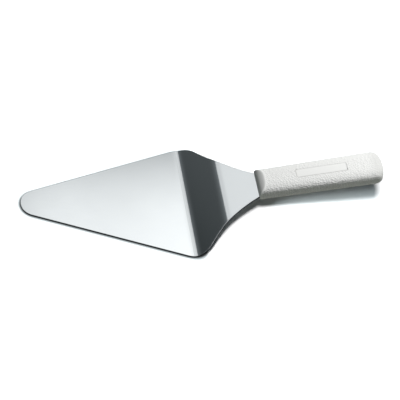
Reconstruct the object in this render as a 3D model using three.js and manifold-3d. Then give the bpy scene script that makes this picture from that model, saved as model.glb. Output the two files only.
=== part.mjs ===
// Pizza server: a triangular steel blade, folded up twice into a neck and a tang,
// with a white plastic handle moulded round the tang.
// Millimetres. +X runs from the tip to the handle's butt, +Z is up, and the blade's flat
// underside lies on z = 0. The origin is under the middle of the whole server.
import * as THREE from "three";
import { mergeVertices } from "three/addons/utils/BufferGeometryUtils.js";
import Module from "manifold-3d";

const wasm = await Module();
wasm.setup();
const { degToRad } = THREE.MathUtils;

// Blade: the outline of the flat blank
const BLADE_LENGTH = 150.2; // tip to the start of the first bend
const BLADE_WIDTH = 127;
const SHEET_THICKNESS = 2;
const EDGE_BREAK = 0.25; // the deburred corners of the sheet
const TIP_RADIUS = 14.8;
const TIP_FLAT = 3; // the blunt end of the nose
const CORNER_RADIUS = 22; // the round rear corners
const CORNER_SETBACK = 3.2; // the corners' centres lie this far behind the first bend's start
const NECK_RADIUS = 127; // the hollow sides that run in to the handle
const NECK_WIDTH = 28.4; // where the sheet enters the handle

// Blade: the two folds
const RISER_ANGLE = degToRad(29.95);
const RISER_LENGTH = 34.7; // from fold to fold
const NECK_ANGLE = degToRad(12.8); // the neck, the tang and the handle share this slope
const NECK_LENGTH = 33.1; // second fold to the handle
const BEND_RADIUS = 12; // on the inside of either bend

// Tang: the part of the sheet that the handle hides
const TANG_LENGTH = 56;
const TANG_WIDTH = 16;
const TANG_END_RADIUS = 3;
const TANG_HOLE_DIAMETER = 7;
const TANG_HOLES = 2;

// Handle
const HANDLE_LENGTH = 118.5;
const HANDLE_THICKNESS = 16.3;
const HANDLE_FLARE = 1.9; // how much wider each side is at the butt than at the front
const HANDLE_SIDE_WALL = 0.39; // plastic left beside the neck's lower corners
const MOULD_GAP = 0.3; // between the steel and the plastic round it
const SECTION_FULLNESS = 3; // 2 is an ellipse, more is nearer to a rectangle
const FRONT_SETBACK = 7; // how far the crest leans back from the front line
const FRONT_POWER = 2.3; // how strongly the front face curves as it leans
const BUTT_DEPTH = 10; // the length over which the butt rounds off
const BUTT_WIDTH_POWER = 2.5; // 2 is an ellipse, more is blunter
const BUTT_HEIGHT_POWER = 4; // the same for the thickness

// The smooth panel let into the crest of the handle
const PANEL_START = 36.8; // from the handle's front line
const PANEL_LENGTH = 48.3;
const PANEL_WIDTH = 10;
const PANEL_CORNER = 1.5;
const PANEL_DEPTH = 0.5;

// Fineness of the facets
const ARC_DIVISIONS = 9;
const BEND_STEPS = 8;
const SECTION_STEPS = 48;
const FRONT_STEPS = 6;
const BODY_STEPS = 4;
const BUTT_STEPS = 9;
const HOLE_SEGMENTS = 32;

const steel = new THREE.MeshStandardMaterial({ color: 0xc8cccd, metalness: 1, roughness: 0.3 });
const plastic = new THREE.MeshStandardMaterial({ color: 0xeeeeec, metalness: 0, roughness: 0.6 });

// The closed skin through rings of equally many points. A ring may collapse to a line or to a
// point: the points that coincide are merged, and the triangles that vanish are dropped.
function skin(rings) {
  const count = rings[0].length;
  const quads = [];
  for (let ring = 0; ring + 1 < rings.length; ring++) {
    for (let i = 0; i < count; i++) {
      const here = ring * count + i;
      const next = ring * count + ((i + 1) % count);
      quads.push(here, next, next + count, here, next + count, here + count);
    }
  }
  const loose = new THREE.BufferGeometry().setFromPoints(rings.flat()).setIndex(quads);
  const geometry = mergeVertices(loose);
  const index = geometry.index.array;
  const kept = [];
  for (let i = 0; i < index.length; i += 3) {
    const [a, b, c] = index.slice(i, i + 3);
    if (a !== b && b !== c && c !== a) kept.push(a, b, c);
  }
  return geometry.setIndex(kept);
}

// A ring with all its points at the middle of another ring, which closes a skin's end.
function collapsed(ring) {
  const middle = ring.reduce((sum, p) => sum.add(p), new THREE.Vector3()).divideScalar(ring.length);
  return ring.map(() => middle);
}

// A three.js geometry as a solid for joining and cutting.
function solidOf(geometry) {
  const bare = geometry.clone().deleteAttribute("normal").deleteAttribute("uv");
  const merged = mergeVertices(bare);
  return new wasm.Manifold(
    new wasm.Mesh({
      numProp: 3,
      vertProperties: new Float32Array(merged.attributes.position.array),
      triVerts: new Uint32Array(merged.index.array),
    }),
  );
}

function meshOf(solid, name, material) {
  const { vertProperties, triVerts } = solid.getMesh();
  const geometry = new THREE.BufferGeometry()
    .setAttribute("position", new THREE.BufferAttribute(vertProperties, 3))
    .setIndex(new THREE.BufferAttribute(triVerts, 1));
  geometry.computeVertexNormals();
  const mesh = new THREE.Mesh(geometry, material);
  mesh.name = name;
  return mesh;
}

// The folded sheet's middle plane, as stretches of length along the blank. Lengths start at
// the first bend, so the flat blade has negative ones.
const bendLine = BEND_RADIUS + SHEET_THICKNESS / 2;
const firstTurn = RISER_ANGLE;
const secondTurn = NECK_ANGLE - RISER_ANGLE;
const cornerCut = (turn) => bendLine * Math.tan(Math.abs(turn) / 2);
const STRETCHES = [
  { length: bendLine * Math.abs(firstTurn), turn: firstTurn },
  { length: RISER_LENGTH - cornerCut(firstTurn) - cornerCut(secondTurn), turn: 0 },
  { length: bendLine * Math.abs(secondTurn), turn: secondTurn },
  { length: NECK_LENGTH - cornerCut(secondTurn) + TANG_LENGTH, turn: 0 },
];
const sheetEnd = STRETCHES.reduce((sum, stretch) => sum + stretch.length, 0);
const handleStart = sheetEnd - TANG_LENGTH;

// Where a length along the blank lies once folded: the middle plane's point and its slope.
function folded(along) {
  const place = { x: Math.min(along, 0), z: SHEET_THICKNESS / 2, slope: 0 };
  let left = Math.max(along, 0);
  for (const { length, turn } of STRETCHES) {
    const run = Math.min(left, length);
    const slope = place.slope + (turn * run) / length;
    if (turn === 0) {
      place.x += run * Math.cos(slope);
      place.z += run * Math.sin(slope);
    } else {
      const radius = length / turn;
      place.x += radius * (Math.sin(slope) - Math.sin(place.slope));
      place.z -= radius * (Math.cos(slope) - Math.cos(place.slope));
    }
    place.slope = slope;
    left -= run;
  }
  return place;
}

// One side of the blank from the nose to the tang's end, as points of (length, half-width).
// The straight taper touches the nose and the corner arcs, and the hollow neck arc touches
// the corner arc and meets the handle at the neck's width.
function blankSide() {
  const noseAngle = Math.asin(TIP_FLAT / 2 / TIP_RADIUS);
  const nose = new THREE.Vector2(TIP_RADIUS * Math.cos(noseAngle) - BLADE_LENGTH, 0);
  const corner = new THREE.Vector2(CORNER_SETBACK, BLADE_WIDTH / 2 - CORNER_RADIUS);
  const taperRun = corner.clone().sub(nose);
  const taper = taperRun.angle() + Math.asin((CORNER_RADIUS - TIP_RADIUS) / taperRun.length());

  const entry = new THREE.Vector2(handleStart, NECK_WIDTH / 2);
  const across = entry.clone().sub(corner);
  const reach = NECK_RADIUS + CORNER_RADIUS;
  const foot = (reach ** 2 - NECK_RADIUS ** 2 + across.lengthSq()) / (2 * across.length());
  const neck = new THREE.Vector2(foot, Math.sqrt(reach ** 2 - foot ** 2))
    .rotateAround(new THREE.Vector2(), across.angle())
    .add(corner);
  const touch = neck.clone().sub(corner).angle();
  const arrive = entry.clone().sub(neck).angle();
  const shoulder = arrive + Math.PI / 2;
  const shoulderRun = (NECK_WIDTH - TANG_WIDTH) / 2 / -Math.tan(shoulder);
  const tangEnd = new THREE.Vector2(sheetEnd - TANG_END_RADIUS, TANG_WIDTH / 2 - TANG_END_RADIUS);

  const side = new THREE.Path()
    .absarc(nose.x, nose.y, TIP_RADIUS, Math.PI - noseAngle, Math.PI / 2 + taper, true)
    .absarc(corner.x, corner.y, CORNER_RADIUS, Math.PI / 2 + taper, touch, true)
    .absarc(neck.x, neck.y, NECK_RADIUS, Math.PI + touch, arrive, false)
    .lineTo(handleStart + shoulderRun, TANG_WIDTH / 2)
    .absarc(tangEnd.x, tangEnd.y, TANG_END_RADIUS, Math.PI / 2, 0, true);
  return { points: side.getPoints(ARC_DIVISIONS), shoulderEnd: shoulderRun };
}
const blank = blankSide();

// The blank's half-width at a length along it.
function halfWidth(along) {
  const { points } = blank;
  const after = Math.max(1, points.findIndex((p) => p.x >= along));
  const [p, q] = [points[after - 1], points[after]];
  return THREE.MathUtils.mapLinear(along, p.x, q.x, p.y, q.y);
}

// Every length along the blank at which its outline or its fold changes direction.
function blankStations() {
  const stations = blank.points.map((p) => p.x);
  let start = 0;
  for (const { length, turn } of STRETCHES) {
    const steps = turn === 0 ? 1 : BEND_STEPS;
    for (let i = 0; i < steps; i++) stations.push(start + (length * i) / steps);
    start += length;
  }
  return stations.sort((a, b) => a - b);
}

// The sheet's section as (across, up) points round the middle plane, with broken corners.
function sheetSection(half) {
  const top = SHEET_THICKNESS / 2;
  const inner = half - EDGE_BREAK;
  const side = top - EDGE_BREAK;
  const right = [[inner, -top], [half, -side], [half, side], [inner, top]];
  const left = right.map(([across, up]) => [-across, up]).reverse();
  return [...right, ...left];
}

// The places along the handle's axis of the holes that the plastic fills.
function tangHolePlaces() {
  const run = TANG_LENGTH - blank.shoulderEnd;
  const pitch = run / (TANG_HOLES + 1);
  return Array.from({ length: TANG_HOLES }, (_, i) => blank.shoulderEnd + pitch * (i + 1));
}

// A round plug through the sheet in the handle's frame, for a hole or for what fills it.
function plug(place, radius) {
  const height = SHEET_THICKNESS + 4 * MOULD_GAP;
  const cylinder = new THREE.CylinderGeometry(radius, radius, height, HOLE_SEGMENTS);
  cylinder.rotateX(Math.PI / 2).translate(place, 0, -SHEET_THICKNESS / 2);
  return cylinder;
}

// The handle's frame: its origin is on the sheet's top face where the sheet enters the
// handle, +X follows the tang, and the parting line lies in the plane of that top face.
function handleFrame() {
  const { x, z, slope } = folded(handleStart);
  const frame = new THREE.Group();
  const up = SHEET_THICKNESS / 2;
  frame.position.set(x - up * Math.sin(slope), 0, z + up * Math.cos(slope));
  frame.rotation.y = -slope;
  frame.updateMatrix();
  return frame;
}

function bladeMesh(frame) {
  const rings = blankStations().map((along) => {
    const { x, z, slope } = folded(along);
    const section = sheetSection(halfWidth(along));
    return section.map(
      ([y, up]) => new THREE.Vector3(x - up * Math.sin(slope), y, z + up * Math.cos(slope)),
    );
  });
  let sheet = solidOf(skin([collapsed(rings[0]), ...rings, collapsed(rings.at(-1))]));
  for (const place of tangHolePlaces()) {
    const hole = plug(place, TANG_HOLE_DIAMETER / 2).applyMatrix4(frame.matrix);
    sheet = sheet.subtract(solidOf(hole));
  }
  return meshOf(sheet, "blade", steel);
}

// The handle is just wide enough at the front to cover the lower corners of the neck.
const halfThickness = HANDLE_THICKNESS / 2;
const cornerDepth = (SHEET_THICKNESS + MOULD_GAP) / halfThickness;
const neckCover = NECK_WIDTH / 2 + MOULD_GAP + HANDLE_SIDE_WALL;
const frontHalfWidth =
  neckCover / (1 - cornerDepth ** SECTION_FULLNESS) ** (1 / SECTION_FULLNESS);

// A sine or cosine raised to a power that fills out the section's corners, with its sign kept.
const full = (share) => Math.sign(share) * Math.abs(share) ** (2 / SECTION_FULLNESS);

// The handle's skin, drawn in by an inset. The front face is a stack of rings that spread
// from the straight front line to the rim and lean back as they rise. The body widens
// steadily, and the butt shrinks along a superellipse, in width sooner than in thickness.
function handleSkin(inset) {
  const thick = halfThickness - inset;
  const turns = Array.from({ length: SECTION_STEPS }, (_, i) => (2 * Math.PI * i) / SECTION_STEPS);
  const spread = (turn) => full(Math.cos(turn));
  const height = (turn) => full(Math.sin(turn));
  const wide = (along) => frontHalfWidth - inset + (HANDLE_FLARE * along) / HANDLE_LENGTH;
  const leanBack = (rise) => FRONT_SETBACK * Math.abs(rise) ** FRONT_POWER;
  const ring = (along, narrowing, thinning) =>
    turns.map((turn) => {
      const across = wide(along) * narrowing * spread(turn);
      return new THREE.Vector3(along, across, thick * thinning * height(turn));
    });

  const rings = [];
  for (let step = 0; step <= FRONT_STEPS; step++) {
    const share = step / FRONT_STEPS;
    const face = turns.map((turn) => {
      const rise = share * height(turn);
      return new THREE.Vector3(inset + leanBack(rise), wide(0) * spread(turn), thick * rise);
    });
    rings.push(face);
  }
  const buttStart = HANDLE_LENGTH - BUTT_DEPTH;
  const bodyStart = (FRONT_SETBACK + buttStart / BODY_STEPS) / 2;
  for (let step = 0; step < BODY_STEPS; step++) {
    rings.push(ring(THREE.MathUtils.lerp(bodyStart, buttStart, step / BODY_STEPS), 1, 1));
  }
  for (let step = 0; step <= BUTT_STEPS; step++) {
    const turn = (Math.PI / 2) * (step / BUTT_STEPS);
    const along = buttStart + (BUTT_DEPTH - inset) * Math.sin(turn) ** (2 / BUTT_WIDTH_POWER);
    const cosine = step === BUTT_STEPS ? 0 : Math.cos(turn);
    rings.push(ring(along, cosine ** (2 / BUTT_WIDTH_POWER), cosine ** (2 / BUTT_HEIGHT_POWER)));
  }
  return skin(rings);
}

// The slot that the tang leaves in the plastic, open at the handle's front.
function tangSlot() {
  const lengths = blank.points.map((p) => p.x - handleStart).filter((along) => along > 0);
  const outside = -FRONT_SETBACK;
  const stations = [outside, 0, ...lengths];
  const rings = stations.map((along) => {
    const half = halfWidth(handleStart + along) + MOULD_GAP;
    const reach = along + (along === stations.at(-1) ? MOULD_GAP : 0);
    const corners = [[half, -SHEET_THICKNESS - MOULD_GAP], [half, MOULD_GAP]];
    const mirrored = corners.map(([y, z]) => [-y, z]).reverse();
    return [...corners, ...mirrored].map(([y, z]) => new THREE.Vector3(reach, y, z));
  });
  return solidOf(skin([collapsed(rings[0]), ...rings, collapsed(rings.at(-1))]));
}

// A straight-sided block with the panel's round-cornered outline, standing on the parting plane.
function panelBlock() {
  const [x, y] = [PANEL_START, -PANEL_WIDTH / 2];
  const far = [x + PANEL_LENGTH - PANEL_CORNER, y + PANEL_WIDTH - PANEL_CORNER];
  const near = [x + PANEL_CORNER, y + PANEL_CORNER];
  const outline = new THREE.Shape()
    .absarc(far[0], near[1], PANEL_CORNER, -Math.PI / 2, 0)
    .absarc(far[0], far[1], PANEL_CORNER, 0, Math.PI / 2)
    .absarc(near[0], far[1], PANEL_CORNER, Math.PI / 2, Math.PI)
    .absarc(near[0], near[1], PANEL_CORNER, Math.PI, 1.5 * Math.PI);
  const options = { depth: HANDLE_THICKNESS, bevelEnabled: false, curveSegments: ARC_DIVISIONS };
  return solidOf(new THREE.ExtrudeGeometry(outline, options));
}

function handleMesh() {
  let slot = tangSlot();
  for (const place of tangHolePlaces()) {
    slot = slot.subtract(solidOf(plug(place, TANG_HOLE_DIAMETER / 2 - MOULD_GAP)));
  }
  const recess = panelBlock().subtract(solidOf(handleSkin(PANEL_DEPTH)));
  const moulding = solidOf(handleSkin(0)).subtract(slot).subtract(recess);
  return meshOf(moulding, "handle", plastic);
}

const server = new THREE.Group();
const grip = handleFrame();
grip.add(handleMesh());
server.add(bladeMesh(grip), grip);

// The finished server is slid along X until the origin is under its middle.
const extent = new THREE.Box3().setFromObject(server, true);
server.position.x = -(extent.min.x + extent.max.x) / 2;

const part = new THREE.Group();
part.add(server);

export default part;
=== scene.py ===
# %% [markdown]
# # A pizza server: folded sheet steel and a moulded handle
# The server is two real pieces. One sheet of stainless steel is cut as a flat blank and folded
# twice, and a white plastic handle is moulded round its end. This lesson dresses the packed
# solids: it sets up the photograph's view and light, then draws each piece as a surface worked
# out with numpy, and gives each a finish made only of shader nodes.
#
# Everything is in metres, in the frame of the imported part: +X runs from the tip to the
# handle's butt, +Z is up, and the blade lies on the plane z = 0.

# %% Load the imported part
import math

import bmesh
import bpy
import numpy as np
from mathutils import Matrix, Vector


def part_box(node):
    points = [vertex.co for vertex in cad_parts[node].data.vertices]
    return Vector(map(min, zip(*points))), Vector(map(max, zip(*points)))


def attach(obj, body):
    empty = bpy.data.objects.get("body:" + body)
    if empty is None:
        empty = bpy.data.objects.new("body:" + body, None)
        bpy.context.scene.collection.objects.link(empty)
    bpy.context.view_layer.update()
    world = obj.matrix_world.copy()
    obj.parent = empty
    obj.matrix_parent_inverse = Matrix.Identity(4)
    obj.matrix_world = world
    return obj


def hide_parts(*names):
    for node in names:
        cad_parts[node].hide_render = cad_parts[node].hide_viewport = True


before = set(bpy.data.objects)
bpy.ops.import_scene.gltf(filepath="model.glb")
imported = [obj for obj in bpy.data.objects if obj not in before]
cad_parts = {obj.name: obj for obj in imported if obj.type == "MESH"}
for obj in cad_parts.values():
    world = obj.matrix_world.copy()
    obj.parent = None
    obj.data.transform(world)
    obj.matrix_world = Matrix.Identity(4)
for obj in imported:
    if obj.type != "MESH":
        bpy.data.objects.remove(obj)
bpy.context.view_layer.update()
MM = 0.001

# %% [markdown]
# ## Where the camera stands
# The blade's outline is mirror symmetric, so the photograph's view can be worked back from it:
# the camera stands off the blade's -Y side, 21 degrees round towards the tip, looks down at 48
# degrees and is rolled by 15. A long lens from 1.3 m fits the small perspective. The aim is a
# point level with the blade's top face, given from the line where the sheet starts to fold up,
# so it stays right if the part moves.

# %% Camera
BLADE_LENGTH = 150.2 * MM
SHEET = 2 * MM
VIEW_AZIMUTH = math.radians(-20.6)
VIEW_ELEVATION = math.radians(48.1)
VIEW_ROLL = math.radians(15.4)
VIEW_DISTANCE = 1.285
LENS_MM = 124.4
AIM_PAST_BEND = Vector((16.7 * MM, 2.6 * MM, SHEET))

bend_line_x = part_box("blade")[0].x + BLADE_LENGTH


def view_axes(azimuth, elevation, roll):
    """Turns a camera: its back points up at the elevation and round by the azimuth from -Y,
    its right stays level, and the roll then turns both right and up about the back."""
    back = Vector((
        math.sin(azimuth) * math.cos(elevation),
        -math.cos(azimuth) * math.cos(elevation),
        math.sin(elevation),
    ))
    right = Vector((math.cos(azimuth), math.sin(azimuth), 0))
    level = Matrix((right, back.cross(right), back)).transposed()
    return level @ Matrix.Rotation(roll, 3, "Z")


aim = Vector((bend_line_x, 0, 0)) + AIM_PAST_BEND
axes = view_axes(VIEW_AZIMUTH, VIEW_ELEVATION, VIEW_ROLL)
camera = bpy.data.objects.new("camera", bpy.data.cameras.new("camera"))
camera.data.lens = LENS_MM
camera.matrix_world = Matrix.LocRotScale(aim + axes.col[2] * VIEW_DISTANCE, axes, None)
bpy.context.scene.collection.objects.link(camera)
bpy.context.scene.camera = camera
bpy.context.scene.view_settings.view_transform = "Standard"
print("camera at", [round(c, 3) for c in camera.location])

# %% [markdown]
# ## Shader maths as plain expressions
# A finish is a small sum: a base, plus some streaks, less the wear at an edge. Wiring Math nodes
# by hand hides that sum, so a wire here is a Python value that adds its own Math node whenever
# it meets a plus, a minus, a times or a division. One method makes every other kind of node.

# %% Wires
class Wire:
    """An output socket that can be added, subtracted, multiplied and divided."""

    def __init__(self, wiring, socket):
        self.wiring = wiring
        self.socket = socket

    def combine(self, operation, first, second):
        """One Math node on two wires or numbers."""
        return self.wiring.node("Math", {"operation": operation}, {0: first, 1: second})

    def __add__(self, other):
        return self.combine("ADD", self, other)

    def __sub__(self, other):
        return self.combine("SUBTRACT", self, other)

    def __mul__(self, other):
        return self.combine("MULTIPLY", self, other)

    def __truediv__(self, other):
        return self.combine("DIVIDE", self, other)

    def __rsub__(self, other):
        return self.combine("SUBTRACT", other, self)

    def __rtruediv__(self, other):
        return self.combine("DIVIDE", other, self)

    __radd__ = __add__
    __rmul__ = __mul__


print("a wire takes + - * / with a wire or a number on either side")


# %% Wiring
class Wiring:
    """A node tree that starts empty and is built up by node()."""

    def __init__(self, tree):
        self.tree = tree
        tree.nodes.clear()

    def node(self, kind, settings=None, sockets=None, out=0):
        """Adds one node. Its settings come first: attributes by name, and a ramp's stops as
        (place, grey) pairs. Then each input socket, by name or number, takes a value or a
        wire. Gives the wanted output as a wire, or nothing for a node without outputs."""
        made = self.tree.nodes.new("ShaderNode" + kind)
        settings = dict(settings or {})
        stops = settings.pop("stops", [])
        for name, value in settings.items():
            setattr(made, name, value)
        for extra in stops[2:]:
            made.color_ramp.elements.new(extra[0])
        for element, (place, grey) in zip(made.color_ramp.elements if stops else [], stops):
            element.position = place
            element.color = (grey, grey, grey, 1)
        for key, value in (sockets or {}).items():
            if isinstance(value, Wire):
                self.tree.links.new(value.socket, made.inputs[key])
            else:
                made.inputs[key].default_value = value
        return Wire(self, made.outputs[out]) if made.outputs else None

    def blend(self, share, first, second):
        """A colour between two others, by a share from 0 to 1. A Mix node's sockets 6 and 7
        take the colours, and its output 2 gives the new one."""
        choice = {"data_type": "RGBA"}
        return self.node("Mix", choice, {"Factor": share, 6: first, 7: second}, 2)


def new_finish(name):
    """A material with an empty node tree, and the wiring to fill it with."""
    material = bpy.data.materials.new(name)
    material.use_nodes = True
    print("new finish:", name)
    return material, Wiring(material.node_tree)


# %% [markdown]
# ## The white ground
# The photograph's ground is plain white with one soft shadow, and a big flat sheet does for it.
# One colour cannot serve all rays, so Light Path gives it three. The camera sees nearly white.
# The light thrown back up at the handle is that of a warm grey table, or the handle's shaded
# side would glow. What the steel's edges and the plastic's shine mirror is a grey between the
# two, because the photograph's steel ends in a dark line all along the ground.
#
# Where the blade touches the ground, hardly any light gets in. Ambient Occlusion measures how
# far a point of the floor is closed in, and a high power of it keeps that dark line thin.

# %% Floor finish
SEEN_FLOOR = (0.9, 0.9, 0.9, 1)
MIRRORED_FLOOR = (0.25, 0.25, 0.25, 1)
BOUNCED_FLOOR = (0.17, 0.166, 0.144, 1)
CONTACT_SHADE = (0.03, 0.034, 0.036, 1)
CONTACT_REACH = 6 * MM
CONTACT_POWER = 5


def ray_is(wiring, *kinds):
    """1 for the kinds of rays that are named, and 0 for the rest."""
    shares = [wiring.node("LightPath", out=f"Is {kind} Ray") for kind in kinds]
    return sum(shares[1:], shares[0])


floor_finish, wiring = new_finish("white_ground")
mirrored = wiring.blend(ray_is(wiring, "Glossy", "Transmission"), BOUNCED_FLOOR, MIRRORED_FLOOR)
clear = wiring.node("AmbientOcclusion", sockets={"Distance": CONTACT_REACH}, out="AO")
contact = wiring.node("Math", {"operation": "POWER"}, {0: clear, 1: CONTACT_POWER})
seen = wiring.blend(contact, CONTACT_SHADE, SEEN_FLOOR)
ground = wiring.blend(ray_is(wiring, "Camera"), mirrored, seen)
matte = wiring.node("BsdfDiffuse", sockets={"Color": ground})
wiring.node("OutputMaterial", sockets={"Surface": matte})

# %% Floor
FLOOR_REACH = 6.0

floor_mesh = bpy.data.meshes.new("floor")
corners = FLOOR_REACH * np.array([[-1, -1, 0], [1, -1, 0], [1, 1, 0], [-1, 1, 0]])
floor_mesh.from_pydata(corners.tolist(), [], [[0, 1, 2, 3]])
floor_mesh.materials.append(floor_finish)
floor = bpy.data.objects.new("floor", floor_mesh)
bpy.context.scene.collection.objects.link(floor)
print("floor is", 2 * FLOOR_REACH, "m across")

# %% [markdown]
# ## A softbox for the steel
# The steel tells where the light is. The flat blade mirrors the right of a softbox overhead, the
# neck mirrors the left of it, and the riser between them mirrors the dark room beyond its left
# edge. The blade dims towards its far side, where the mirrored box ends. So the softbox is a
# real area lamp with that place and size, and not a glow painted on the steel.
#
# A plain lamp is even all over. Here one ramp changes the light along the box, and one makes it
# fall off across it. The neck does not dim, so a third ramp keeps the left end even.

# %% Softbox
SOFTBOX_HEIGHT = 1.8
SOFTBOX_X = (-0.75, 0.9)
SOFTBOX_Y = (-0.6, 1.8)
SOFTBOX_RADIANCE = 1.4
ALONG_BOX = [
    (0, 0.68), (0.05, 0.46), (0.24, 0.45), (0.345, 0.575), (0.4, 0.595),
    (0.475, 0.42), (0.55, 0.8), (0.65, 0.75), (0.76, 0.88),
]
ACROSS_BOX = [(0, 0.93), (0.8, 0.95), (0.883, 0.88), (0.917, 0.66), (0.95, 0.35), (1, 0.05)]
EVEN_END = [(0.44, 0.94), (0.54, 0)]
DOWN = Vector((0, 0, -1))


def new_lamp(name, kind, place, towards):
    """A lamp at a place, with its beam turned towards a direction."""
    lamp = bpy.data.objects.new(name, bpy.data.lights.new(name, kind))
    turn = towards.to_track_quat("-Z", "Y")
    lamp.matrix_world = Matrix.LocRotScale(place, turn, None)
    bpy.context.scene.collection.objects.link(lamp)
    return lamp


def new_softbox(span_x, span_y, radiance):
    """A flat lamp that faces down and spans a range of x and of y. Its power is the radiance
    times pi times its area. Each point's share of that light is the ramp along the box, times
    the larger of the ramp across it and the ramp of its even end."""
    middle = Vector((sum(span_x) / 2, sum(span_y) / 2, SOFTBOX_HEIGHT))
    box = new_lamp("softbox", "AREA", middle, DOWN)
    box.data.shape = "RECTANGLE"
    box.data.size = span_x[1] - span_x[0]
    box.data.size_y = span_y[1] - span_y[0]
    box.data.energy = radiance * math.pi * box.data.size * box.data.size_y
    box.visible_camera = False
    box.data.use_nodes = True
    wiring = Wiring(box.data.node_tree)
    share = wiring.node("NewGeometry", out="Parametric")
    along = wiring.node("SeparateXYZ", sockets={0: share}, out="X")
    across = wiring.node("SeparateXYZ", sockets={0: share}, out="Y")
    lengthways, falling, even = (
        wiring.node("ValToRGB", {"stops": stops}, {0: way})
        for stops, way in ((ALONG_BOX, along), (ACROSS_BOX, across), (EVEN_END, along))
    )
    sideways = wiring.node("Math", {"operation": "MAXIMUM"}, {0: falling, 1: even})
    glow = wiring.node("Emission", sockets={"Strength": lengthways * sideways})
    wiring.node("OutputLight", sockets={"Surface": glow})
    return box


softbox = new_softbox(SOFTBOX_X, SOFTBOX_Y, SOFTBOX_RADIANCE)
print("softbox", round(softbox.data.energy, 2), "W")

# %% [markdown]
# ## A lamp for the handle
# The handle is bright on its crest and darker down its near side, as under one round lamp above
# and behind it. It stays out of mirrors, so the steel shows the softbox alone.

# %% Top lamp
TOP_LAMP_POWER = 9.0
TOP_LAMP_AT = Vector((0.45, 0.2, 0.8))
TOP_LAMP_SIZE = 0.35

grip_middle = sum(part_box("handle"), Vector()) / 2
top_lamp = new_lamp("top_lamp", "AREA", TOP_LAMP_AT, grip_middle - TOP_LAMP_AT)
top_lamp.data.shape = "DISK"
top_lamp.data.size = TOP_LAMP_SIZE
top_lamp.data.energy = TOP_LAMP_POWER
top_lamp.visible_glossy = False
top_lamp.visible_camera = False
print("top lamp is aimed at", [round(c, 3) for c in grip_middle])

# %% [markdown]
# ## Two lamps for the shadow
# The photograph's shadow is much darker than so wide a box can make, and it has a dark core and
# a paler side. Two sun lamps draw it: one high on the viewer's side for the core, and a wider,
# cooler one low beyond the tip, whose shadow reaches further towards the butt.

# %% Floor lamps
SHADOW_LAMP_STRENGTH = 4.0
SHADOW_LAMP_FROM = Vector((-0.3, -0.432, 1))
SHADOW_LAMP_SPREAD = math.radians(9)
SHADOW_LAMP_COLOUR = (1, 1, 1)
SIDE_LAMP_STRENGTH = 5.9
SIDE_LAMP_FROM = Vector((-1.52, -0.602, 1))
SIDE_LAMP_SPREAD = math.radians(22)
SIDE_LAMP_COLOUR = (0.83, 0.965, 1)


def new_floor_lamp(name, source, strength, angle, colour):
    """A sun lamp that shines from a point towards the origin, as wide as the angle."""
    lamp = new_lamp(name, "SUN", source, -source)
    lamp.data.energy = strength
    lamp.data.angle = angle
    lamp.data.color = colour
    print(name, "throws its shadow towards", [round(c, 2) for c in -source])
    return lamp


shadow_lamp = new_floor_lamp(
    "shadow_lamp", SHADOW_LAMP_FROM, SHADOW_LAMP_STRENGTH, SHADOW_LAMP_SPREAD, SHADOW_LAMP_COLOUR
)
side_lamp = new_floor_lamp(
    "side_lamp", SIDE_LAMP_FROM, SIDE_LAMP_STRENGTH, SIDE_LAMP_SPREAD, SIDE_LAMP_COLOUR
)

# %% [markdown]
# ## The room
# Beyond the lamps is a photographer's room. The camera sees white. The steel sees a wall with a
# cold tint, dark on the tip's side and lighter to the right, so that the riser is dark in the
# photograph. Near the floor the wall is light, so that no view from low down is black. All other
# rays carry a weak fill light.

# %% World
FILL_LIGHT = (0.038, 0.045, 0.049, 1)
DARK_WALL = (0.025, 0.031, 0.032, 1)
LIT_WALL = (0.175, 0.19, 0.2, 1)
WALL_X = (-0.6, -0.3)
WALL_SHADES = [(0.15, 0), (0.25, 0.3), (1, 1)]
LIGHT_SKIRTING = (0.4, 0.4, 0.4, 1)
SKIRTING_TOP = 0.5
SKIRTING_SHADES = [(0, 1), (1, 0)]
WHITE = (1, 1, 1, 1)

world = bpy.data.worlds.new("room")
bpy.context.scene.world = world
world.use_nodes = True
wiring = Wiring(world.node_tree)
direction = wiring.node("TexCoord", out="Generated")
aside = wiring.node("SeparateXYZ", sockets={0: direction}, out="X")
height = wiring.node("SeparateXYZ", sockets={0: direction}, out="Z")
nearness = (aside - WALL_X[0]) / (WALL_X[1] - WALL_X[0])
lit = wiring.node("ValToRGB", {"stops": WALL_SHADES}, {0: nearness})
skirting = wiring.node("ValToRGB", {"stops": SKIRTING_SHADES}, {0: height / SKIRTING_TOP})
wall = wiring.blend(skirting, wiring.blend(lit, DARK_WALL, LIT_WALL), LIGHT_SKIRTING)
carried = wiring.blend(ray_is(wiring, "Glossy"), FILL_LIGHT, wall)
shown = wiring.blend(ray_is(wiring, "Camera"), carried, WHITE)
background = wiring.node("Background", sockets={"Color": shown})
wiring.node("OutputWorld", sockets={"Surface": background})
print("room lit with a fill of", FILL_LIGHT[:3])

# %% [markdown]
# ## From a grid of points to a mesh
# Both pieces are tubes: a closed ring of points carried along a path, with the first and last
# ring drawn together to a line. Each cell of that grid is one four-sided face. Points that fall
# together at the closed ends are merged afterwards, so that no seam or pole stays open.

# %% Grid to mesh
MERGE = 1e-7


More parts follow.
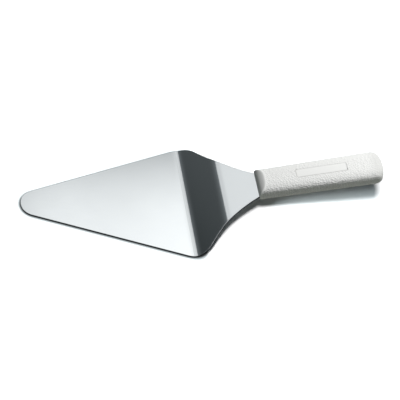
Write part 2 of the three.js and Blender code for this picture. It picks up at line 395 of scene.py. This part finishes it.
def skin(name, points, marks):
    """A closed mesh through a grid of points, rings by places round a ring by 3. Marks are
    named grids of one number a point, kept as attributes for the finish to read."""
    rings, places = points.shape[:2]
    index = np.arange(rings * places).reshape(rings, places)
    beside = np.roll(index, -1, axis=1)
    faces = np.stack([index[:-1], index[1:], beside[1:], beside[:-1]], axis=-1)
    mesh = bpy.data.meshes.new(name)
    mesh.from_pydata(points.reshape(-1, 3).tolist(), [], faces.reshape(-1, 4).tolist())
    for mark, values in marks.items():
        layer = mesh.attributes.new(mark, "FLOAT", "POINT")
        layer.data.foreach_set("value", values.astype(np.float32).ravel())
    shell = bmesh.new()
    shell.from_mesh(mesh)
    bmesh.ops.remove_doubles(shell, verts=shell.verts, dist=MERGE)
    bmesh.ops.dissolve_degenerate(shell, edges=shell.edges, dist=MERGE)
    bmesh.ops.recalc_face_normals(shell, faces=shell.faces)
    shell.to_mesh(mesh)
    shell.free()
    mesh.shade_smooth()
    print(name, "has", rings, "rings of", places, "points")
    return mesh


def new_piece(name, mesh, finish, node):
    """A piece of the server in place of its CAD node, with its finish and material slot."""
    mesh.materials.append(finish)
    piece = bpy.data.objects.new(name, mesh)
    bpy.context.scene.collection.objects.link(piece)
    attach(piece, "root")
    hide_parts(node)
    mesh.calc_loop_triangles()
    print(name, "has", len(mesh.loop_triangles), "triangles")
    return piece


# %% [markdown]
# ## The blank: one side of the sheet before it is folded
# The sheet was cut flat, so its outline is easiest to draw flat: a round nose, a straight taper,
# a round corner, a long hollow neck and then the narrow tang that the plastic hides. Each arc
# touches the next one, as a cutter's path does. The lengths start at the first fold. The neck's
# hollow is a little flatter than in the solid, which brings its edges onto the photograph's.

# %% Arcs and straights
def arc(centre, radius, start, stop, steps):
    """Points on a circle: the centre plus the radius at angles spread evenly from start to
    stop, both included."""
    angle = np.linspace(start, stop, steps)
    return centre + radius * np.stack([np.cos(angle), np.sin(angle)], axis=-1)


def straight(start, stop, steps):
    """Points spread evenly between two points, without either of them."""
    share = np.linspace(0, 1, steps + 2)[1:-1, None]
    return start + share * (stop - start)


def turn_of(vector):
    """The angle of a direction, counted from its first axis towards its second."""
    return math.atan2(vector[1], vector[0])


print("half a circle in three points:", arc(0, 1, 0, math.pi, 3).round(2).tolist())

# %% The blank's outline
BLADE_WIDTH = 127 * MM
TIP_RADIUS = 14.8 * MM
CORNER_RADIUS = 22 * MM
CORNER_SETBACK = 3.2 * MM
NECK_RADIUS = 155 * MM
NECK_WIDTH = 28.4 * MM
TANG_WIDTH = 16 * MM
TANG_BLUNTNESS = 4
NOSE_STEPS = 48
TAPER_STEPS = 24
CORNER_STEPS = 90
NECK_STEPS = 150
SHOULDER_STEPS = 6
TANG_STEPS = 12
TANG_END_STEPS = 14


def blank_side(neck_end, tang_end):
    """One edge of the blank as (length, half-width) from the nose to the tang's end. The taper
    touches the nose and corner circles from outside. The neck's circle touches the corner's
    and passes through the neck's half-width at the handle. The tang ends as a blunt
    superellipse, whose length and half-width are powers of a sine and a cosine."""
    nose = np.array([TIP_RADIUS - BLADE_LENGTH, 0])
    corner = np.array([CORNER_SETBACK, BLADE_WIDTH / 2 - CORNER_RADIUS])
    run = corner - nose
    taper = turn_of(run) + math.asin((CORNER_RADIUS - TIP_RADIUS) / np.hypot(*run))

    entry = np.array([neck_end, NECK_WIDTH / 2])
    across = entry - corner
    reach = NECK_RADIUS + CORNER_RADIUS
    foot = (reach**2 - NECK_RADIUS**2 + across @ across) / (2 * np.hypot(*across))
    swing = turn_of(across) + math.acos(foot / reach)
    neck = corner + reach * np.array([math.cos(swing), math.sin(swing)])
    arrive = turn_of(entry - neck)

    half_tang = TANG_WIDTH / 2
    shoulder_run = (NECK_WIDTH / 2 - half_tang) / math.tan(-(arrive + math.pi / 2))
    shoulder = np.array([neck_end + shoulder_run, half_tang])
    tang_turn = np.linspace(0, math.pi / 2, TANG_END_STEPS)
    tang_sine = np.sin(tang_turn) ** (2 / TANG_BLUNTNESS)
    tang_cosine = np.cos(tang_turn).clip(0) ** (2 / TANG_BLUNTNESS)
    tang = np.stack([tang_end - half_tang + half_tang * tang_sine, half_tang * tang_cosine], -1)

    nose_arc = arc(nose, TIP_RADIUS, math.pi, math.pi / 2 + taper, NOSE_STEPS)
    corner_arc = arc(corner, CORNER_RADIUS, math.pi / 2 + taper, swing, CORNER_STEPS)
    neck_arc = arc(neck, NECK_RADIUS, swing + math.pi, arrive + 2 * math.pi, NECK_STEPS)
    return np.concatenate([
        nose_arc,
        straight(nose_arc[-1], corner_arc[0], TAPER_STEPS),
        corner_arc,
        neck_arc[1:],
        straight(entry, shoulder, SHOULDER_STEPS),
        straight(shoulder, tang[0], TANG_STEPS),
        tang,
    ])


print("blank is", round(BLADE_WIDTH / MM), "mm wide, and", NECK_WIDTH / MM, "mm at the handle")

# %% [markdown]
# ## Two folds
# A press brake bends the sheet up into the dark riser and then part of the way back, so that
# the neck, tang and handle share one gentle slope. In the photograph each fold starts and ends
# softly, so a bend is not one arc but a chain of short ones that turn more in its middle.
#
# Folding keeps lengths along the sheet's middle, so the fold is a function of the length alone,
# and every point of the flat sheet goes through it: along a straight stretch the point moves on,
# and along an arc it goes round.

# %% Stretches of the fold
RISER_ANGLE = math.radians(29.95)
RISER_LENGTH = 34.7 * MM
NECK_ANGLE = math.radians(12.8)
NECK_LENGTH = 33.1 * MM
BEND_RADIUS = 12 * MM
SOFT_BEND = 14 * MM
BEND_STEPS = 12
TANG_LENGTH = 56 * MM


def soft_bend(turn):
    """A bend as short arcs of equal length, given as (length, turn). Their turns grow and die
    away along it, as 1 - cos of one full wave does."""
    wave = 1 - np.cos(2 * math.pi * (np.arange(BEND_STEPS) + 0.5) / BEND_STEPS)
    return [(SOFT_BEND / BEND_STEPS, turn * share / BEND_STEPS) for share in wave]


def setback(bend):
    """How far before the corner of its two straights a bend starts: half of its chord, over
    the cosine of half its turn."""
    turns = np.array([turn for length, turn in bend])
    lean = np.cumsum(turns) - turns / 2 - turns.sum() / 2
    return SOFT_BEND * np.cos(lean).mean() / (2 * math.cos(turns.sum() / 2))


riser_bend = soft_bend(RISER_ANGLE)
neck_bend = soft_bend(NECK_ANGLE - RISER_ANGLE)
fold_start = (BEND_RADIUS + SHEET / 2) * math.tan(RISER_ANGLE / 2) - setback(riser_bend)
STRETCHES = (
    *riser_bend,
    (RISER_LENGTH - setback(riser_bend) - setback(neck_bend), 0),
    *neck_bend,
    (NECK_LENGTH - setback(neck_bend) + TANG_LENGTH, 0),
)
tang_end = fold_start + sum(length for length, turn in STRETCHES)
neck_end = tang_end - TANG_LENGTH
print("sheet runs", round(tang_end / MM, 1), "mm past the first fold")


# %% Fold
def fold(along, across, up):
    """Takes points of the flat sheet, as lengths, widths and heights over its middle, to their
    places on the folded one. Each stretch adds its run along the slope so far, and an arc adds
    the chord of its circle. The height then goes square to the slope."""
    x = np.minimum(along, fold_start)
    z = np.full_like(x, SHEET / 2)
    slope = np.zeros_like(x)
    left = np.maximum(along - fold_start, 0)
    for length, turn in STRETCHES:
        run = np.minimum(left, length)
        after = slope + turn * run / length
        if turn:
            radius = length / turn
            x = x + radius * (np.sin(after) - np.sin(slope))
            z = z - radius * (np.cos(after) - np.cos(slope))
        else:
            x = x + run * np.cos(slope)
            z = z + run * np.sin(slope)
        slope = after
        left = left - run
    x = x + bend_line_x - up * np.sin(slope)
    return np.stack(np.broadcast_arrays(x, across, z + up * np.cos(slope)), axis=-1)


handle_origin = fold(np.array([neck_end]), np.zeros(1), np.array([SHEET / 2]))[0]
print("steel enters the handle at", handle_origin.round(4).tolist())

# %% [markdown]
# ## The sheet's skin
# A plain extrusion would leave knife-sharp corners that catch no light. A real edge is deburred,
# so the ring round the sheet goes over the top face, down a small round corner, down the cut
# edge, and back underneath. The round corner moves out along the outline's own normal, which
# keeps it even round the nose. The cut edge is marked, because its finish is rougher and its
# colour is painted nearly black as shade.

# %% Blade mesh
EDGE_ROUND = 0.25 * MM
FACE_PLACES = 21
ROUND_PLACES = 5


def edge_profile():
    """The way round one edge, from the top face to the bottom one, as steps out, heights and a
    mark for the cut: a quarter circle out to the edge, and its mirror image back in. A place
    counts as cut past half of the rounding, both outwards and down."""
    quarter = np.linspace(math.pi / 2, 0, ROUND_PLACES)
    out = EDGE_ROUND * np.concatenate([np.cos(quarter), np.cos(quarter)[::-1]])
    fall = EDGE_ROUND * np.sin(quarter) + SHEET / 2 - EDGE_ROUND
    up = np.concatenate([fall, -fall[::-1]])
    out = np.concatenate([[-EDGE_ROUND], out, [-EDGE_ROUND]])
    up = np.concatenate([[SHEET / 2], up, [-SHEET / 2]])
    half_round = EDGE_ROUND / 2
    return out, up, (out > half_round) & (up < SHEET / 2 - half_round)


def blade_rings():
    """The blade as rings by places. A place is a share of the half-width, plus a small step
    out along the outline's normal and a height: the face's shares go from side to side, and
    at each end the edge's profile leads on to the other face."""
    side = blank_side(neck_end, tang_end)
    tangent = np.gradient(side, axis=0)
    normal = np.stack([-tangent[:, 1], tangent[:, 0]], axis=-1)
    normal /= np.hypot(normal[:, 0], normal[:, 1])[:, None]
    normal[0], normal[-1] = (-1, 0), (1, 0)
    inner = side - EDGE_ROUND * normal

    out, up, cut = edge_profile()
    share = np.linspace(-1, 1, FACE_PLACES)[1:-1]
    flat = np.zeros_like(share)
    whole = np.ones_like(out)
    shares = np.concatenate([share, whole, share[::-1], -whole])
    steps = np.concatenate([flat, out, flat, out[::-1]])
    signs = np.sign(np.concatenate([flat, whole, flat, -whole]))
    ups = np.concatenate([flat + SHEET / 2, up, flat - SHEET / 2, up[::-1]])
    cuts = np.concatenate([flat, cut, flat, cut[::-1]])

    along = inner[:, :1] + normal[:, :1] * steps
    across = inner[:, 1:] * shares + normal[:, 1:] * steps * signs
    points = fold(along, across, np.broadcast_to(ups, along.shape))
    return points, np.broadcast_to(cuts, along.shape)


blade_points, cut_mark = blade_rings()
blade_mesh = skin("server_blade", blade_points, {"cut_edge": cut_mark})

# %% [markdown]
# ## Satin steel
# The sheet is polished to a satin: it mirrors the softbox, blurred, with very fine lines along
# its length from the belt. Stretched noise makes those lines, both as a small change of
# roughness and as a bump far too low to see as a shape, and a broad noise clouds the shine. The
# cut edge is rougher, and it is nearly black as the photograph's edge line is, which is partly
# its duller cut and partly painted shade.

# %% Steel finish
STEEL = (0.765, 0.79, 0.795, 1)
# The cut edge's nearly black colour is partly its duller sheared finish and partly painted shade.
CUT_STEEL_AND_SHADE = (0.03, 0.033, 0.035, 1)
SATIN = 0.13
CUT_ROUGHNESS = 0.5
BELT_STRETCH = (60, 2600, 2600)
BELT_LINES = {"Scale": 1, "Detail": 3}
BELT_ROUGHNESS = 0.06
BELT_RELIEF = {"Strength": 0.05, "Distance": 0.01 * MM}
CLOUDS = {"Scale": 35, "Detail": 2}
CLOUD_ROUGHNESS = 0.04
MEAN_NOISE = 0.5

steel_finish, wiring = new_finish("satin_steel")
place = wiring.node("TexCoord", out="Object")
stretched = wiring.node("Mapping", sockets={"Vector": place, "Scale": BELT_STRETCH})
lines = wiring.node("TexNoise", sockets={"Vector": stretched, **BELT_LINES})
cloud = wiring.node("TexNoise", sockets={"Vector": place, **CLOUDS})
cut = wiring.node("Attribute", {"attribute_name": "cut_edge"}, out="Fac")
satin = SATIN + BELT_ROUGHNESS * (lines - MEAN_NOISE) + CLOUD_ROUGHNESS * (cloud - MEAN_NOISE)
roughness = satin + cut * (CUT_ROUGHNESS - satin)
bump = wiring.node("Bump", sockets={"Height": lines, **BELT_RELIEF})
steel = wiring.node("BsdfPrincipled", sockets={
    "Base Color": wiring.blend(cut, STEEL, CUT_STEEL_AND_SHADE),
    "Metallic": 1.0,
    "Roughness": roughness,
    "Normal": bump,
})
wiring.node("OutputMaterial", sockets={"Surface": steel})
blade = new_piece("server_blade", blade_mesh, steel_finish, "blade")

# %% [markdown]
# ## The handle's form
# The plastic is moulded in two halves that meet level with the steel's top face. Its section is
# an ellipse filled out towards a rectangle, and the lower half stands out by a hair at the
# parting line. The front is a leaning face that starts as a straight line across the steel, the
# sides widen a little, and the butt rounds off bluntly. One ring of angles is carried along all
# three stretches, and a small curve softens the front rim.

# %% Handle section
HANDLE_LENGTH = 118.5 * MM
HALF_THICKNESS = 8.15 * MM
FRONT_HALF_WIDTH = 15 * MM
HANDLE_FLARE = 1.9 * MM
PARTING_STEP = 0.15 * MM
SECTION_FULLNESS = 3
AROUND = 288
FINE_TURNS = 4001


def filled(share):
    """A sine or cosine raised to a power that fills out the section's corners, with its sign
    kept: 2 is an ellipse, and a higher fullness is nearer to a rectangle."""
    return np.sign(share) * np.abs(share) ** (2 / SECTION_FULLNESS)


def even_turns(count):
    """Angles round the section whose points are evenly far apart: the angle is read off where
    the length walked round a finely divided section passes each equal share."""
    turn = np.linspace(0, 2 * math.pi, FINE_TURNS)
    across = np.diff(FRONT_HALF_WIDTH * filled(np.cos(turn)))
    up = np.diff(HALF_THICKNESS * filled(np.sin(turn)))
    walked = np.concatenate([[0], np.cumsum(np.hypot(across, up))])
    return np.interp(np.linspace(0, walked[-1], count, endpoint=False), walked, turn)


around = even_turns(AROUND)
spread, rise = filled(np.cos(around)), filled(np.sin(around))


def section(along, narrowing=1, thinning=1):
    """The handle's section at a length: the half-width times a filled-out cosine across, and
    the half thickness times a filled-out sine up. The butt narrows and thins both to 0."""
    wide = FRONT_HALF_WIDTH + HANDLE_FLARE * along / HANDLE_LENGTH
    across = (wide + PARTING_STEP * (rise < 0)) * narrowing * spread
    return np.stack(np.broadcast_arrays(along, across, HALF_THICKNESS * thinning * rise), -1)


print("section of", AROUND, "points,", round(2 * HALF_THICKNESS / MM, 1), "mm thick")

# %% Handle form
FRONT_SETBACK = 7 * MM
FRONT_POWER = 2.3
RIM_ROUND = 0.7 * MM
BUTT_DEPTH = 10 * MM
BUTT_WIDTH_POWER = 2.5
BUTT_HEIGHT_POWER = 4
FRONT_ROWS = 14
RIM_ROWS = 6
BODY_ROWS = 270
BUTT_ROWS = 40


def front_face(share):
    """The leaning front: at a share of the section's height, the face has gone back by the
    setback times a power of that height."""
    lift = share * rise
    back = FRONT_SETBACK * np.abs(lift) ** FRONT_POWER
    across = np.broadcast_to(FRONT_HALF_WIDTH * spread, lift.shape)
    return np.stack([back, across, HALF_THICKNESS * lift], axis=-1)


def butt_end(start):
    """The blunt end's rows: lengths are powers of a sine, and widths and heights are powers of
    a cosine, a smaller one for the heights, which keeps the end thick for longer."""
    turn = np.linspace(0, math.pi / 2, BUTT_ROWS)[:, None]
    cosine = np.cos(turn)
    cosine[-1] = 0
    along = start + BUTT_DEPTH * np.sin(turn) ** (2 / BUTT_WIDTH_POWER)
    return section(along, cosine ** (2 / BUTT_WIDTH_POWER), cosine ** (2 / BUTT_HEIGHT_POWER))


def handle_rings():
    """The front face's rows, a rounded rim, the body's rows and the butt's rows. The rim is a
    curve with the sharp rim as its middle handle: (1-s)^2 front + 2s(1-s) rim + s^2 body. It
    takes no more than half of the height where the face runs out to a line."""
    height = HALF_THICKNESS * np.abs(rise)
    rim_room = np.minimum(RIM_ROUND, height / 2)
    rim_share = 1 - rim_room / np.maximum(height, MERGE)
    face_end = front_face(rim_share[None])
    rim = front_face(np.ones_like(rim_share)[None])
    body_start = section(rim[..., 0] + rim_room)

    rows = np.linspace(0, 1, FRONT_ROWS, endpoint=False)[:, None]
    front = front_face(rows * rim_share)
    s = np.linspace(0, 1, RIM_ROWS, endpoint=False)[:, None, None]
    rim_rows = (1 - s) ** 2 * face_end + 2 * s * (1 - s) * rim + s**2 * body_start
    butt_start = HANDLE_LENGTH - BUTT_DEPTH
    share = np.linspace(0, 1, BODY_ROWS, endpoint=False)[:, None]
    body = section(body_start[..., 0] + share * (butt_start - body_start[..., 0]))
    return np.concatenate([front, rim_rows, body, butt_end(butt_start)])


handle_form = handle_rings()
print("handle form is", round(np.ptp(handle_form[..., 0]) / MM, 1), "mm long")

# %% [markdown]
# ## Pebble grain
# The mould is etched with a fine pebble that gives a wet hand some grip. The pebbles are long and
# lie aslant, and they are deeper down the sides than on the crest. A bump in the finish would
# leave the outline smooth, so they are pressed into the mesh. Pebbles are cells: each point of
# the skin looks for the two nearest of a jittered lattice of seeds, and the skin sinks where
# both are equally far, which is the groove between two pebbles.

# %% Pebbles
PEBBLE = 1.5 * MM
PEBBLE_STRETCH = 2
PEBBLE_LEAN = math.radians(-60)
GROOVE_SHARE = 0.45
CELL_PRIMES = np.array([73856093, 19349663, 83492791], dtype=np.uint64)
CELL_MIXES = ((np.uint64(15), np.uint64(2246822519)), (np.uint64(13), np.uint64(3266489917)))
JITTER_SALTS = (11, 23, 47)
KEPT_BITS = 0xFFFF


def scatter(cell, salt):
    """A number from 0 to 1 for each whole-number cell, the same on every run: the cell's three
    numbers are multiplied by large primes and mixed by shifts, and 16 bits are kept."""
    mixed = (cell.astype(np.int64).astype(np.uint64) * CELL_PRIMES).sum(-1) + np.uint64(salt)
    for shift, factor in CELL_MIXES:
        mixed = (mixed ^ (mixed >> shift)) * factor
    return ((mixed >> np.uint64(16)) & np.uint64(KEPT_BITS)).astype(float) / KEPT_BITS


def eased(low, high, value):
    """0 below low, 1 above high, and a smooth step between them."""
    share = ((value - low) / (high - low)).clip(0, 1)
    return share * share * (3 - 2 * share)


def pebbles(points):
    """1 on a pebble and 0 in the groove between two: the difference between the distances to
    the nearest and the second nearest seed, eased so that the pebble's top is flat."""
    cell = np.floor(points)
    nearest = np.full(points.shape[:-1], np.inf)
    second = nearest.copy()
    for step in np.ndindex(3, 3, 3):
        corner = cell + np.array(step) - 1
        jitter = np.stack([scatter(corner, salt) for salt in JITTER_SALTS], axis=-1)
        gap = np.linalg.norm(corner + jitter - points, axis=-1)
        second = np.minimum(second, np.maximum(nearest, gap))
        nearest = np.minimum(nearest, gap)
    return eased(0, GROOVE_SHARE, second - nearest)


def pebble_cells(along, across, over):
    """The skin's points counted in pebbles: turned by the lean seen from above, drawn out
    along that direction, and divided by a pebble's width."""
    lean = np.array([math.cos(PEBBLE_LEAN), math.sin(PEBBLE_LEAN)])
    streak = along * lean[0] + across * lean[1]
    cross = across * lean[0] - along * lean[1]
    return np.stack([streak / PEBBLE_STRETCH, cross, over], axis=-1) / PEBBLE


pebble_tops = pebbles(pebble_cells(*np.moveaxis(handle_form, -1, 0)))
print("pebbles cover", round(100 * pebble_tops.mean()), "% of the skin")

# %% [markdown]
# ## The smooth panel
# The grain stops at the front face, and at a shallow panel in the crest that is left smooth and
# bare. A Boolean cut would break the grid, so the panel is a distance instead: how far each point
# of the skin lies inside its outline, seen from above, tells how far the skin sinks there.

# %% Panel
PANEL_START = 36.8 * MM
PANEL_LENGTH = 48.3 * MM
PANEL_WIDTH = 10 * MM
PANEL_CORNER = 1.5 * MM
FAR_OUTSIDE = -1.0


def inside_panel(along, across, over):
    """How far a point lies inside the panel's round-cornered outline, seen from above: the
    distance to a smaller rectangle, less the corner radius, with its sign turned."""
    half = np.array([PANEL_LENGTH, PANEL_WIDTH]) / 2 - PANEL_CORNER
    beyond = np.abs(np.stack([along - PANEL_START - PANEL_LENGTH / 2, across], -1)) - half
    outside = np.linalg.norm(np.maximum(beyond, 0), axis=-1)
    distance = outside + np.minimum(beyond.max(-1), 0) - PANEL_CORNER
    return np.where(over > 0, -distance, FAR_OUTSIDE)


inside = inside_panel(*np.moveaxis(handle_form, -1, 0))
print("panel holds", int((inside > 0).sum()), "points of the skin")

# %% [markdown]
# ## The grained skin
# The panel and the pebbles move the skin inwards along its own normals, so the grain is as true
# down the sides as on the crest. A mark of painted shade goes with it: in the photograph the
# pits, the panel's wall on its near and front sides and the butt are a little darker, and the
# finish paints that shade into the colour.

# %% Handle mesh
PEBBLE_DEPTH = 0.22 * MM
SIDE_PEBBLE_DEPTH = 0.33 * MM
CREST_TO_SIDE = (0.55, 0.95)
GRAIN_ROW = FRONT_ROWS + RIM_ROWS
GRAIN_EASE_ROWS = 4
PANEL_DEPTH = 0.5 * MM
PANEL_WALL = 0.8 * MM
# These weights paint shade into the plastic's colour: in the pebbles' pits, on the panel's wall
# and towards the butt.
PIT_PAINTED_SHADE = 0.11
OUTLINE_PAINTED_SHADE = 0.95
BUTT_PAINTED_SHADE = 0.43
BUTT_SHADE_REACH = 1.5 * BUTT_DEPTH
NO_LENGTH = 1e-12


def outward(points):
    """Unit normals of a grid that closes round each ring: the cross product of the steps to the
    neighbours along and round it."""
    along = np.gradient(points, axis=0)
    wrapped = np.concatenate([points[:, -1:], points, points[:, :1]], axis=1)
    round_it = (wrapped[:, 2:] - wrapped[:, :-2]) / 2
    normal = np.cross(round_it, along)
    return normal / np.maximum(np.linalg.norm(normal, axis=-1), NO_LENGTH)[..., None]


def grained_handle():
    """The handle's form, moved in along its normals by the panel's depth and by the pebbles'
    depth times 1 less their tops, and the painted shade and grain that the finish reads."""
    along, across, over = np.moveaxis(handle_form, -1, 0)
    panel = eased(0, PANEL_WALL, inside)
    row = np.arange(handle_form.shape[0])[:, None]
    grain = eased(GRAIN_ROW, GRAIN_ROW + GRAIN_EASE_ROWS, row) * (1 - panel)
    pits = (1 - pebble_tops) * grain
    crest = 1 - eased(*CREST_TO_SIDE, np.abs(spread))
    depth = SIDE_PEBBLE_DEPTH + (PEBBLE_DEPTH - SIDE_PEBBLE_DEPTH) * crest
    # Painted shade: the pits, the panel's wall on its near and front sides, and the butt get a
    # darker colour.
    near_and_front_walls = (across < -PANEL_WIDTH / 4) | (along < PANEL_START + PANEL_CORNER)
    outline = eased(PANEL_WALL, 0, np.abs(inside - PANEL_WALL / 2)) * near_and_front_walls
    butt = eased(HANDLE_LENGTH - BUTT_SHADE_REACH, HANDLE_LENGTH, along)
    painted_shade = PIT_PAINTED_SHADE * pits + OUTLINE_PAINTED_SHADE * outline + BUTT_PAINTED_SHADE * butt
    sink = PANEL_DEPTH * panel + depth * pits
    return handle_form - sink[..., None] * outward(handle_form), {"painted_shade": painted_shade, "grain": grain}


def on_the_tang(points):
    """Turns points of the handle's own frame to the tang's slope, with the handle's origin on
    the steel's top face where the steel enters the plastic."""
    turn = np.array([
        [math.cos(NECK_ANGLE), 0, -math.sin(NECK_ANGLE)],
        [0, 1, 0],
        [math.sin(NECK_ANGLE), 0, math.cos(NECK_ANGLE)],
    ])
    return handle_origin + points @ turn.T


handle_points, handle_marks = grained_handle()
handle_mesh = skin("server_handle", on_the_tang(handle_points), handle_marks)

# %% [markdown]
# ## Moulded plastic
# The plastic is a warm white with a dull shine. Its grain is already in the mesh, so the finish
# only adds what is finer: a tooth on the grained skin, which is also a little duller than the
# smooth panel and front, and a painted shade, a greyer tone where the painted shade mark says so.

# %% Plastic finish
PLASTIC = (0.9, 0.9, 0.88, 1)
# The colour of the painted shade on the handle.
PAINTED_SHADE_COLOUR = (0.45, 0.45, 0.43, 1)
SMOOTH_ROUGHNESS = 0.5
GRAIN_ROUGHNESS = 0.1
TOOTH = {"Scale": 1500, "Detail": 2}
TOOTH_RELIEF = {"Strength": 0.5, "Distance": 0.05 * MM}

plastic_finish, wiring = new_finish("grained_plastic")
place = wiring.node("TexCoord", out="Object")
painted_shade = wiring.node("Attribute", {"attribute_name": "painted_shade"}, out="Fac")
grained = wiring.node("Attribute", {"attribute_name": "grain"}, out="Fac")
tooth = wiring.node("TexNoise", sockets={"Vector": place, **TOOTH})
bump = wiring.node("Bump", sockets={"Height": tooth * grained, **TOOTH_RELIEF})
plastic = wiring.node("BsdfPrincipled", sockets={
    "Base Color": wiring.blend(painted_shade, PLASTIC, PAINTED_SHADE_COLOUR),
    "Roughness": SMOOTH_ROUGHNESS + GRAIN_ROUGHNESS * grained,
    "Normal": bump,
})
wiring.node("OutputMaterial", sockets={"Surface": plastic})
handle = new_piece("server_handle", handle_mesh, plastic_finish, "handle")

# %% [markdown]
# ## Which lamp lights what
# The photograph was retouched: the steel, the plastic and the shadow do not agree on one light.
# Light linking gives each its own: the softbox is for the steel, the top lamp for the plastic,
# and the other lamps are for the floor.

# %% Light linking
def light_only(lamp, piece):
    """Lets a lamp light one piece and nothing else."""
    reach = bpy.data.collections.new(lamp.name + "_reach")
    reach.objects.link(piece)
    lamp.light_linking.receiver_collection = reach
    print(lamp.name, "lights", piece.name)


light_only(softbox, blade)
light_only(top_lamp, handle)
light_only(shadow_lamp, floor)
light_only(side_lamp, floor)
